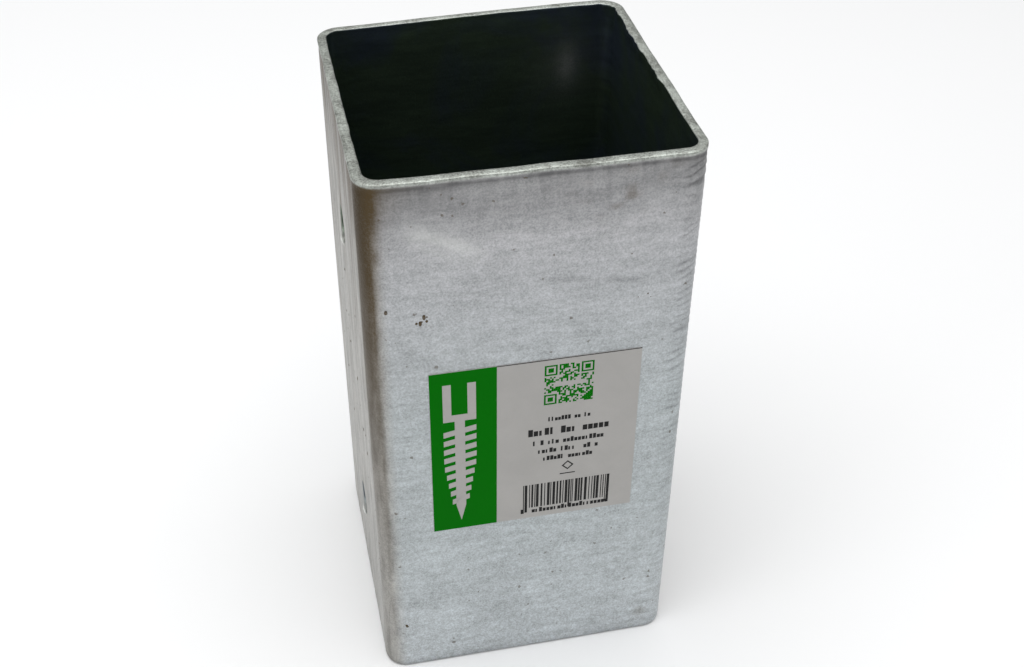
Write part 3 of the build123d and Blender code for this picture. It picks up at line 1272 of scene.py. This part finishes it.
@dataclass
class FootPlate:
    """The plate in the foot, with its corners cut off and a hole for the stud, and its four welds."""

    low: Vector
    high: Vector
    hole_r: float = 8.75 * MM
    clip: float = 9 * MM
    edge: float = 0.5 * MM
    cols: int = 192
    weld_rows: int = 150

    def build(self, name: str) -> bpy.types.Object:
        """Make the plate.

        A profile goes from the hole's edge over the top to the outside, down and back below, and is
        carried round while its outer end follows an eight-sided outline and its inner end a circle.

        Args:
            name: Name of the piece.

        Returns:
            The plate as one closed mesh.
        """
        half = (self.high.x - self.low.x) / 2
        angle = np.linspace(0.0, 2 * math.pi, self.cols, endpoint=False)
        facing = np.radians(np.arange(8) * 45.0)
        distance = np.where(np.arange(8) % 2 == 0, half, (2 * half - self.clip) / math.sqrt(2))
        outer = soft_polygon(angle, facing, distance, 90.0)
        turn = np.linspace(0.0, math.pi / 2, 5)
        share = np.linspace(0.0, 1.0, 22)[1:-1]
        low, high = self.low.z, self.high.z
        top_z, low_z = high - self.edge * (1 - np.sin(turn)), low + self.edge * (1 - np.sin(turn))
        rows_r, rows_z = [], []

        def add(r: Array, z: Array) -> None:
            """Add rows of the profile."""
            rows_r.append(np.broadcast_to(r, (len(z), self.cols)))
            rows_z.append(np.broadcast_to(z, (len(z), self.cols)))

        inset = (self.edge * (1 - np.cos(turn)))[:, None]
        add(self.hole_r + inset, top_z[:, None] * np.ones(self.cols))
        width = outer - self.hole_r - 2 * self.edge
        flat = self.hole_r + self.edge + share[:, None] * width[None, :]
        x, y = flat * np.cos(angle), flat * np.sin(angle)
        waves = 0.12 * MM * noise(x / (9 * MM) + 20, y / (9 * MM) + 20, 31)
        add(flat, high + waves * np.sin(np.pi * share)[:, None])
        add(outer - inset[::-1], top_z[::-1][:, None] * np.ones(self.cols))
        add(outer - inset, low_z[:, None] * np.ones(self.cols))
        add(flat[::-1], low - waves[::-1] * np.sin(np.pi * share)[::-1][:, None])
        add(self.hole_r + inset[::-1], low_z[::-1][:, None] * np.ones(self.cols))
        r, z = np.vstack(rows_r), np.vstack(rows_z)
        near = np.minimum(outer - r, r - self.hole_r)
        masks = {"soil_and_shade": 0.35 * bump(near, 2.5 * MM), "rim": 0.4 * bump(near, 0.7 * MM)}
        # Painted shade: a quarter of the hollow's dark colour on the plate.
        masks["inside"] = 0 * r + 0.25
        return mesh_object(name, turned(r, angle, z), ring_faces(*r.shape), masks)

    def build_weld(
        self, name: str, low: Vector, high: Vector, wall: Wall, seed: int
    ) -> bpy.types.Object:
        """Make one weld bead between a wall and the plate's underside.

        The section is a quarter disc whose face swells and sinks along the bead, as beads laid one
        after another do, and shrinks to a rounded end.

        Args:
            name: Name of the bead.
            low: Lowest corner of its space.
            high: Highest corner of its space.
            wall: The wall it lies along.
            seed: Picks its unevenness.

        Returns:
            The bead as one closed mesh.
        """
        along_x = wall in (Wall.FRONT, Wall.BACK)
        length = (high.x - low.x) if along_x else (high.y - low.y)
        leg, bead_length = high.z - low.z, 2.2 * MM
        s = np.linspace(-1.0, 1.0, self.weld_rows)
        ends = np.sqrt(np.clip(1 - np.abs(s) ** 14, 0.0, 1.0)) * 0.92 + 0.08
        phase = (s * length / 2 / bead_length + 0.25 * noise(s * 9, 0 * s, seed)) % 1.0
        swell = 0.93 + 0.07 * np.sin(np.pi * phase**0.7) + 0.05 * noise(s * 6, 0 * s, seed + 1)
        swell = swell * ends
        t = np.linspace(0.0, math.pi / 2, 9)
        face = np.stack([np.cos(t), np.sin(t)]) * leg
        reach, drop = (np.append(0.0, half)[None, :] * swell[:, None] for half in face)
        out, along = axes(math.radians(wall.value))
        edge = max(abs(low.y), abs(high.y)) if along_x else max(abs(low.x), abs(high.x))
        flat = out * (edge - reach)[..., None] + along * (s * length / 2)[:, None, None]
        points = np.concatenate([flat, (high.z - drop)[..., None]], axis=-1)
        masks = {"soil_and_shade": 0 * reach + 0.3, "rim": 0 * reach + 0.3}
        return mesh_object(name, points.reshape(-1, 3), tube_faces(*reach.shape), masks, crease=60.0)


# ---------------------------------------------------------------- fixings


@dataclass
class Washer:
    """The flat washer: stamped, so its upper edge is round and its lower edge is sharper."""

    low: Vector
    high: Vector
    hole_r: float = 8.5 * MM
    soft_edge: float = 0.55 * MM
    sharp_edge: float = 0.2 * MM
    cols: int = 160

    def build(self, name: str) -> bpy.types.Object:
        """Make the washer: a rectangle with rounded corners, turned about the vertical axis.

        Args:
            name: Name of the piece.

        Returns:
            The washer as one closed mesh.
        """
        outer, inner = self.high.x, self.hole_r
        top, bottom = self.high.z, self.low.z
        quarter = np.linspace(0.0, math.pi / 2, 6)
        corners = []
        spots = (
            (outer, top, self.soft_edge, 0),
            (inner, top, self.soft_edge, 1),
            (inner, bottom, self.sharp_edge, 2),
            (outer, bottom, self.sharp_edge, 3),
        )
        for r, z, edge, turn in spots:
            angle = quarter + turn * math.pi / 2
            centre = (r - edge * (1 if r == outer else -1), z - edge * (1 if z == top else -1))
            arc = [centre[0] + edge * np.cos(angle), centre[1] + edge * np.sin(angle)]
            corners.append(np.stack(arc))
        across = np.linspace(0.0, 1.0, 8)[1:-1]
        runs = []
        for before, after, level in ((0, 1, top), (2, 3, bottom)):
            start, end = corners[before][0, -1], corners[after][0, 0]
            runs.append(np.stack([start + (end - start) * across, 0 * across + level]))
        profile = np.hstack([corners[0], runs[0], corners[1], corners[2], runs[1], corners[3]])
        angle = np.linspace(0.0, 2 * math.pi, self.cols, endpoint=False)
        r, z = (profile[k][:, None] + 0 * angle[None, :] for k in (0, 1))
        lift = 0.03 * MM * noise(angle / (2 * math.pi) * 12 + 0 * r, r / (4 * MM), 41, wrap=12)
        points = turned(r, angle, z + lift * (z > (top + bottom) / 2))
        near = np.minimum(outer - r, r - inner)
        masks = {"rim": 0.7 * bump(near, 0.6 * MM), "soil_and_shade": 0.15 * bump(near - 1 * MM, 1.2 * MM)}
        return mesh_object(name, points, ring_faces(*r.shape), masks, crease=40.0)


@dataclass
class Nut:
    """The hexagon nut, with both faces bevelled and a right-hand thread in its bore."""

    low: Vector
    high: Vector
    flats: float = 24 * MM
    minor_r: float = 6.92 * MM
    major_r: float = 8.0 * MM
    pitch: float = 2 * MM
    face_r: float = 11.5 * MM
    bevel_deg: float = 30.0
    lead_in: float = 1.0 * MM
    sharpness: float = 140.0
    bevel_blend: float = 0.15 * MM
    bevel_share: float = 0.16
    cols: int = 192

    def build(self, name: str) -> bpy.types.Object:
        """Make the nut.

        Outside, the radius is a six-sided outline cut by a cone at each face. In the bore it follows a
        V-shaped groove that climbs one pitch each turn, and a cone opens each mouth.

        Args:
            name: Name of the piece.

        Returns:
            The nut as one closed mesh.
        """
        angle = np.linspace(0.0, 2 * math.pi, self.cols, endpoint=False)
        facing = np.radians(np.arange(6) * 60.0)
        hexagon = soft_polygon(angle, facing, np.full(6, self.flats / 2), self.sharpness)
        bottom, top = self.low.z, self.high.z
        height = top - bottom
        share = self.bevel_share
        bevel, middle = np.linspace(0.0, share, 12), np.linspace(share, 1 - share, 10)[1:-1]
        rows = np.concatenate([bevel, middle, np.linspace(1 - share, 1.0, 12)])[:, None] * height
        slope = 1 / math.tan(math.radians(self.bevel_deg))
        cone = self.face_r + np.minimum(rows, height - rows) * slope
        soft = self.bevel_blend
        outer = -soft * np.logaddexp(-cone / soft, -hexagon[None, :] / soft)
        bore = np.linspace(1.0, 0.0, 110)[:, None] * height
        turn = (bore / self.pitch - angle[None, :] / (2 * math.pi)) % 1.0
        groove = np.clip(1.25 * (1 - 2 * np.abs(turn - 0.5)) - 0.12, 0.0, 1.0)
        thread = self.minor_r + (self.major_r - self.minor_r) * groove
        mouth = self.minor_r + self.lead_in - np.minimum(bore, height - bore)
        inner = np.maximum(thread, mouth)
        ring = np.linspace(0.0, 1.0, 5)[1:-1, None]
        top_face = outer[-1] + (inner[0] - outer[-1]) * ring
        low_face = inner[-1] + (outer[0] - inner[-1]) * ring
        r = np.vstack([outer, top_face, inner, low_face])
        heights = (bottom + rows, np.full((3, 1), top), bottom + bore, np.full((3, 1), bottom))
        z = np.vstack(heights) + 0 * angle
        corner = bump(hexagon - r, 0.5 * MM) * ease((hexagon - self.flats / 2) / (1.2 * MM))
        soil_and_shade = 0.35 * (r < self.major_r + 0.01 * MM) + 0 * r
        masks = {"rim": 0.6 * corner, "soil_and_shade": soil_and_shade}
        return mesh_object(name, turned(r, angle, z), ring_faces(*r.shape), masks, crease=32.0)


# ---------------------------------------------------------------- label


@dataclass
class Label:
    """The sticker on the front wall: a sheet with a band, a square code, bars and rows of marks.

    Places on it are in millimetres from its lower left corner, across and up. Its print is made up:
    the picture on the band is a socket on a ground screw, and the rows of marks spell nothing.
    print_rows gives each row's base line, length and height.
    """

    low: Vector
    high: Vector
    sleeve: Sleeve
    stock: float = 0.15 * MM
    ink: float = 0.012 * MM
    band: float = 15.7
    print_rows: tuple[tuple[float, float, float], ...] = (
        (31.2, 10.4, 1.3),
        (27.0, 20.0, 2.2),
        (23.9, 17.6, 1.5),
        (21.2, 15.0, 1.5),
        (18.7, 12.4, 1.4),
    )

    def on_wall(self, across: Array, up: Array, lift: float) -> Array:
        """Points on the wall's own waves, lift above the bare wall.

        Args:
            across: Millimetres from the label's left side.
            up: Millimetres from its lower side.
            lift: Metres above the bare wall.

        Returns:
            Places, with x, y and z last.
        """
        x, z = self.low.x + across * MM, self.low.z + up * MM
        path = self.sleeve.middle_of(Wall.FRONT) + x
        waves = self.sleeve.broad_waves(path, z)
        return np.stack([x, -self.sleeve.side / 2 - waves - lift, z], axis=-1)

    def sheet(
        self, name: str, size: tuple[float, float], back: float, front: float
    ) -> bpy.types.Object:
        """Make a thin closed sheet from the label's lower left corner.

        Args:
            name: Name of the sheet.
            size: Width and height in millimetres.
            back: Height of its back above the bare wall, in metres.
            front: Height of its front above the bare wall, in metres.

        Returns:
            The sheet as one closed mesh.
        """
        across, up = np.meshgrid(np.linspace(0, size[0], 26), np.linspace(0, size[1], 51))
        faces = np.stack([self.on_wall(across, up, back), self.on_wall(across, up, front)])
        index = np.arange(faces[..., 0].size).reshape(faces.shape[:3])
        edge = np.s_[0, :], np.s_[:, -1], np.s_[-1, ::-1], np.s_[::-1, 0]
        loop = np.concatenate([np.stack([index[0][e][:-1], index[1][e][:-1]]) for e in edge], axis=1)
        rim = grid_faces(loop, wrap_cols=True)
        groups = [grid_faces(index[0])[:, ::-1], grid_faces(index[1]), rim]
        return mesh_object(name, faces.reshape(-1, 3), groups, crease=30.0)

    def marks(self, name: str, outlines: list[Array], back: float, front: float) -> bpy.types.Object:
        """Make printed shapes as thin closed plates.

        Args:
            name: Name of the piece.
            outlines: Arrays of k outlines by n corners by 2, anticlockwise.
            back: Height of their backs above the bare wall.
            front: Height of their fronts above the bare wall.

        Returns:
            All the plates as one mesh.
        """
        points, groups, count = [], [], 0
        for shapes in outlines:
            k, n, _ = shapes.shape
            across, up = shapes[..., 0], shapes[..., 1]
            pair = np.stack([self.on_wall(across, up, lift) for lift in (back, front)], axis=1)
            index = count + np.arange(k * 2 * n).reshape(k, 2, n)
            low, high = index[:, 0], index[:, 1]
            sides = np.stack([low, np.roll(low, -1, 1), np.roll(high, -1, 1), high], axis=-1)
            groups += [low[:, ::-1], high, sides.reshape(-1, 4)]
            points.append(pair.reshape(-1, 3))
            count += k * 2 * n
        return mesh_object(name, np.concatenate(points), groups, crease=30.0)

    @staticmethod
    def boxes(left: Array, low: Array, width: Array, height: Array) -> Array:
        """Outlines of upright rectangles, k by 4 by 2.

        Args:
            left: Left side of each.
            low: Lower side of each.
            width: Width of each.
            height: Height of each.

        Returns:
            Outlines, anticlockwise.
        """
        left, low, width, height = np.broadcast_arrays(left, low, width, height)
        x = np.stack([left, left + width, left + width, left], axis=-1)
        z = np.stack([low, low, low + height, low + height], axis=-1)
        return np.stack([x, z], axis=-1)

    def code_square(self) -> list[Array]:
        """Squares of a made-up square code: three framed corners and random cells between them.

        Returns:
            Outlines, in millimetres.
        """
        cells, left, low = 27, 26.9, 36.4
        size = 11.8 / cells
        rows, cols = np.mgrid[0:cells, 0:cells]
        on = np.random.default_rng(51).random((cells, cells)) < 0.56
        for r, c in ((3, 3), (cells - 4, 3), (cells - 4, cells - 4)):
            ring = np.maximum(np.abs(rows - r), np.abs(cols - c))
            on = np.where(ring <= 4, (ring == 3) | (ring <= 1), on)
        on &= ~((np.abs(rows - cells // 2) <= 1) & (np.abs(cols - cells // 2) <= 8))
        r, c = rows[on], cols[on]
        return [self.boxes(left + c * size, low + r * size, size * 0.98, size * 0.98)]

    def text_row(self, middle: float, low: float, width: float, height: float, seed: int) -> Array:
        """A row of small solid blocks, in groups like words.

        Args:
            middle: Where the row's middle is.
            low: Its base line.
            width: Its length.
            height: Height of its tallest blocks.
            seed: Picks the blocks.

        Returns:
            Outlines of the blocks.
        """
        rng = np.random.default_rng(seed)
        count = max(3, round(width / (height * 0.62)))
        step = width / count
        at = middle - width / 2 + np.arange(count) * step
        keep = rng.random(count) > 0.13
        keep[[0, -1]] = True
        tall = np.where(rng.random(count) < 0.3, height, height * 0.72)
        wide = step * rng.choice([0.45, 0.8, 0.8, 0.86], count)
        return self.boxes(at[keep], np.full(keep.sum(), low), wide[keep], tall[keep])

    def bars(self) -> list[Array]:
        """Upright bars of uneven width, with longer ones at the ends and in the middle.

        Returns:
            Outlines, in millimetres.
        """
        start, length, top, foot, long_foot = 22.3, 22.0, 11.2, 3.4, 1.9
        rng = np.random.default_rng(61)
        widths = rng.choice([0.26, 0.26, 0.5, 0.72], 60)
        widths[::2] *= 1.35
        edges = np.concatenate([[0.0], np.cumsum(widths)])
        edges *= length / edges[-1]
        left, wide = edges[:-1:2], np.diff(edges)[::2]
        index = np.arange(len(left))
        guard = (index < 2) | (index > len(index) - 3) | (np.abs(index - len(index) // 2) < 1)
        low = np.where(guard, long_foot, foot)
        return [self.boxes(start + left, low, wide, top - low)]

    def screw_picture(self) -> list[Array]:
        """The picture on the band: a square socket on a shaft with slanted flights and a point.

        Returns:
            Outlines, in millimetres.
        """
        middle, reach, core, thick = 6.9, 3.9, 1.2, 2.0
        tip, neck, shoulder = 2.8, 8.0, 35.2
        rows = np.arange(9)
        low = 8.4 + rows * 2.75
        half = np.minimum(reach, 2.1 + rows * 0.42)
        ends = ((-half, 0.0), (half, 1.5), (half, 3.15), (-half, 1.65))
        flights = [np.stack([middle + across, low + up], axis=-1) for across, up in ends]
        flights = np.stack(flights, axis=1)
        point = np.array([[[middle, tip], [middle + core, neck], [middle - core, neck]]])
        shaft = self.boxes(np.array([middle - core]), neck, 2 * core, shoulder - neck)
        plate = self.boxes(np.array([middle - reach]), shoulder, 2 * reach, thick)
        edges = np.array([middle - reach, middle + reach - thick])
        sides = self.boxes(edges, shoulder + thick, thick, 9.2)
        return [flights, point, np.concatenate([shaft, plate, sides])]

    def diamond(self) -> list[Array]:
        """A small outline square standing on its corner, with a bar under it.

        Returns:
            Outlines, in millimetres.
        """
        middle, low, reach, line = 33.3, 16.2, 1.5, 0.34
        angle = np.radians(np.arange(4) * 90.0)
        around = np.stack([np.cos(angle), np.sin(angle)], axis=-1)
        centre = np.array([middle, low])
        outer, inner = centre + around * reach, centre + around * (reach - line * math.sqrt(2))
        sides = np.stack([outer, np.roll(outer, -1, 0), np.roll(inner, -1, 0), inner], axis=1)
        return [sides, self.boxes(np.array([middle - 1.9]), 13.4, 3.8, 0.32)]

    def build(self) -> dict[str, bpy.types.Object]:
        """Make the sticker's pieces.

        Returns:
            The pieces by name.
        """
        size = (self.high.x - self.low.x) / MM, (self.high.z - self.low.z) / MM
        front, printed, over = self.stock, self.stock + self.ink, self.stock + 2 * self.ink
        dark = self.bars() + self.diamond()
        for number, (low, width, height) in enumerate(self.print_rows):
            dark.append(self.text_row(33.3, low, width, height, 70 + number))
        dark.append(self.text_row(33.0, 1.6, 22.5, 1.5, 80))
        line = 0.22
        dark.append(self.boxes(np.array([self.band]), size[1] - line, size[0] - self.band, line))
        sunk = 0.5 * self.ink
        return {
            "label_sheet": self.sheet("label_sheet", size, 0.0, front),
            "label_band": self.sheet("label_band", (self.band, size[1]), front - sunk, printed),
            "label_picture": self.marks("label_picture", self.screw_picture(), printed - sunk, over),
            "label_code": self.marks("label_code", self.code_square(), front - sunk, printed),
            "label_print": self.marks("label_print", dark, front - sunk, printed),
        }


@dataclass
class Dross:
    """Little lumps of zinc dross on the walls, as flattened half balls.

    Each lump is a ring profile, a quarter circle turned about the way out of the wall and closed
    below the surface.

    Each entry of spots is a wall, the middle of a group across and up, its spread, how many lumps
    it has and their size, in millimetres.
    """

    sleeve: Sleeve
    flatness: float = 0.35
    reach: float = 33.1
    lowest: float = 5.0
    highest: float = 145.0
    spots: tuple[tuple[Wall, float, float, float, int, float], ...] = (
        (Wall.FRONT, -25.0, 114.6, 2.4, 6, 0.38),
        (Wall.FRONT, 22.0, 112.0, 6.0, 3, 0.20),
        (Wall.FRONT, 2.0, 24.0, 18.0, 7, 0.18),
        (Wall.FRONT, -33.4, 118.0, 0.9, 3, 0.40),
        (Wall.FRONT, -32.6, 15.0, 1.0, 2, 0.40),
        (Wall.LEFT, 6.0, 70.0, 30.0, 18, 0.34),
        (Wall.BACK, 0.0, 80.0, 32.0, 16, 0.30),
        (Wall.RIGHT, 0.0, 74.0, 30.0, 12, 0.30),
    )

    def build(self, name: str) -> bpy.types.Object:
        """Make the lumps.

        Args:
            name: Name of the piece.

        Returns:
            All the lumps as one mesh.
        """
        rng = np.random.default_rng(91)
        rings, cols = 5, 12
        turn = np.linspace(0.0, 2 * math.pi, cols, endpoint=False)
        rise = np.linspace(-0.45, math.pi / 2 - 0.12, rings)
        points, groups, soil_and_shade, count = [], [], [], 0
        for wall, across, up, spread, number, size in self.spots:
            out, along = (np.append(axis, 0.0) for axis in axes(math.radians(wall.value)))
            at = rng.normal(0.0, 0.5, (number, 2)) * spread
            at[:, 0] = np.clip(across + at[:, 0], -self.reach, self.reach) - across
            at[:, 1] = np.clip(up + at[:, 1], self.lowest, self.highest) - up
            radius = size * rng.uniform(0.45, 1.15, number)
            stretch = rng.uniform(0.7, 1.9, number)
            wide, tall = radius[:, None, None], (radius * stretch)[:, None, None]
            u = (across + at[:, 0])[:, None, None] + wide * np.cos(rise)[:, None] * np.cos(turn)
            v = (up + at[:, 1])[:, None, None] + tall * np.cos(rise)[:, None] * np.sin(turn)
            lift = wide * self.flatness * np.sin(rise)[:, None] + 0 * turn
            base = self.sleeve.outer_relief(self.sleeve.middle_of(wall) + u * MM, v * MM)
            stand = self.sleeve.side / 2 + base + lift * MM
            place = u[..., None] * MM * along + stand[..., None] * out
            place[..., 2] += v * MM
            points.append(place.reshape(-1, 3))
            for _ in range(number):
                groups += [part + count for part in tube_faces(rings, cols)]
                count += rings * cols
            soil_and_shade.append(np.repeat(rng.uniform(0.85, 1.0, number), rings * cols))
        quads = np.concatenate([g for g in groups if g.shape[1] == 4])
        caps = np.concatenate([g for g in groups if g.shape[1] != 4])
        masks = {"soil_and_shade": np.concatenate(soil_and_shade)}
        return mesh_object(name, np.concatenate(points), [quads, caps], masks)


# ---------------------------------------------------------------- setting


@dataclass(frozen=True)
class Studio:
    """A pale floor and background, two soft lights and the camera."""

    eye: tuple[float, float, float] = (-0.058255, -0.275311, 0.297163)
    towards: tuple[float, float, float] = (0.17208, 0.77030, -0.61403)
    lean_deg: float = 0.543
    lens: float = 48.607
    floor_colour: Colour = (0.95, 0.955, 0.96)
    floor_roughness: float = 0.9
    air: Colour = (1.0, 1.0, 1.0)
    air_strength: float = 0.33

    def build_floor(self) -> None:
        """Make the floor: a wide square under the foot."""
        reach, z = 3.0, -0.2 * MM
        corners = [(-reach, -reach, z), (reach, -reach, z), (reach, reach, z), (-reach, reach, z)]
        mesh = bpy.data.meshes.new("floor")
        mesh.from_pydata(corners, [], [(0, 1, 2, 3)])
        floor = link_new("floor", mesh)
        material, _, shader = new_material("floor")
        shader.inputs["Base Color"].default_value = (*self.floor_colour, 1.0)
        shader.inputs["Roughness"].default_value = self.floor_roughness
        mesh.materials.append(material)

    def build_light(self, name: str, place: Colour, size: tuple[float, float], power: float) -> None:
        """Make a soft rectangular light that faces the origin.

        Args:
            name: Name of the light.
            place: Where it stands.
            size: Its width and height.
            power: Its power in watts.
        """
        data = bpy.data.lights.new(name, "AREA")
        data.shape = "RECTANGLE"
        data.size, data.size_y = size
        data.energy = power
        turn = (-Vector(place)).to_track_quat("-Z", "Y").to_matrix().to_4x4()
        link_new(name, data).matrix_world = Matrix.Translation(place) @ turn

    def build_camera(self) -> None:
        """Make the camera, turned a little about its line of sight."""
        data = bpy.data.cameras.new("camera")
        data.sensor_width = 36.0
        data.lens = self.lens
        data.clip_start = 0.005
        camera = link_new("camera", data)
        turn = Vector(self.towards).to_track_quat("-Z", "Y").to_matrix().to_4x4()
        lean = Matrix.Rotation(math.radians(self.lean_deg), 4, "Z")
        camera.matrix_world = Matrix.Translation(self.eye) @ turn @ lean
        bpy.context.scene.camera = camera

    def build(self) -> None:
        """Make the floor, the air, the lights and the camera."""
        self.build_floor()
        world = bpy.data.worlds.new("air")
        world.use_nodes = True
        sky = world.node_tree.nodes["Background"]
        sky.inputs["Color"].default_value = (*self.air, 1.0)
        sky.inputs["Strength"].default_value = self.air_strength
        bpy.context.scene.world = world
        bpy.context.scene.view_settings.view_transform = "Standard"
        self.build_light("overhead", (-0.1, -0.1, 1.3), (1.6, 1.6), 19.0)
        self.build_light("left_low", (-1.5, -0.6, 0.6), (0.8, 0.6), 3.0)
        self.build_camera()


# ---------------------------------------------------------------- all together


def main() -> None:
    """Build every piece around the loaded frame, then the setting."""
    logging.basicConfig(level=logging.INFO, format="%(name)s %(message)s")
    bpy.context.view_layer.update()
    groups = {"mottle": zinc_mottle_group(), "runs": zinc_runs_group(), "flecks": flecks_group()}
    sheet = ZincFinish("hot_dip_zinc").build(groups)
    weld = ZincFinish("hot_dip_weld", cloud=6 * MM, relief=0.05 * MM).build(groups)
    plate = ZincFinish(
        "dull_zinc", light=(0.5, 0.51, 0.52), dark=(0.36, 0.37, 0.38), roughness=0.55
    ).build(groups)
    plated = ZincFinish(
        "plated_zinc",
        light=(0.72, 0.73, 0.75),
        dark=(0.58, 0.59, 0.62),
        roughness=0.34,
        relief=0.012 * MM,
    ).build(groups)
    paper = PrintFinish("label_paper", (0.43, 0.42, 0.405)).build(groups)
    green = PrintFinish(
        "label_green_ink", (0.001, 0.15, 0.0015), roughness=0.7, gloss=0.04
    ).build(groups)
    black = PrintFinish("label_black_ink", (0.012, 0.012, 0.012), roughness=0.45).build(groups)

    low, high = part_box("folded_sleeve")
    sleeve = Sleeve(side=high.x - low.x, height=high.z - low.z)
    dress(sleeve.build_sleeve("sleeve_skin"), sheet, "socket", "galvanised_sheet", "folded_sleeve")
    dress(sleeve.build_seam("seam_weld_skin"), weld, "socket", "galvanised_weld", "corner_seam_weld")
    dress(Dross(sleeve).build("zinc_dross"), sheet, "socket", "galvanised_sheet")

    foot = FootPlate(*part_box("base_plate"))
    dress(foot.build("foot_plate_skin"), plate, "socket", "galvanised_plate", "base_plate")
    for seed, wall in enumerate(Wall):
        node = f"base_weld_{wall.name.lower()}"
        bead = foot.build_weld(f"{node}_bead", *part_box(node), wall, 100 + 2 * seed)
        dress(bead, weld, "socket", "galvanised_weld", node)

    washer = Washer(*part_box("flat_washer")).build("washer_skin")
    dress(washer, plated, "washer", "zinc_fixings", "flat_washer")
    nut = Nut(*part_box("hex_nut")).build("nut_skin")
    dress(nut, plated, "nut", "zinc_fixings", "hex_nut")

    pieces = Label(*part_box("label"), sleeve).build()
    dress(pieces["label_sheet"], paper, "socket", "label_paper", "label")
    dress(pieces["label_band"], green, "socket", "label_green_ink")
    dress(pieces["label_picture"], paper, "socket", "label_paper")
    dress(pieces["label_code"], green, "socket", "label_green_ink")
    dress(pieces["label_print"], black, "socket", "label_black_ink")

    Studio().build()


if __name__ == "__main__":
    main()
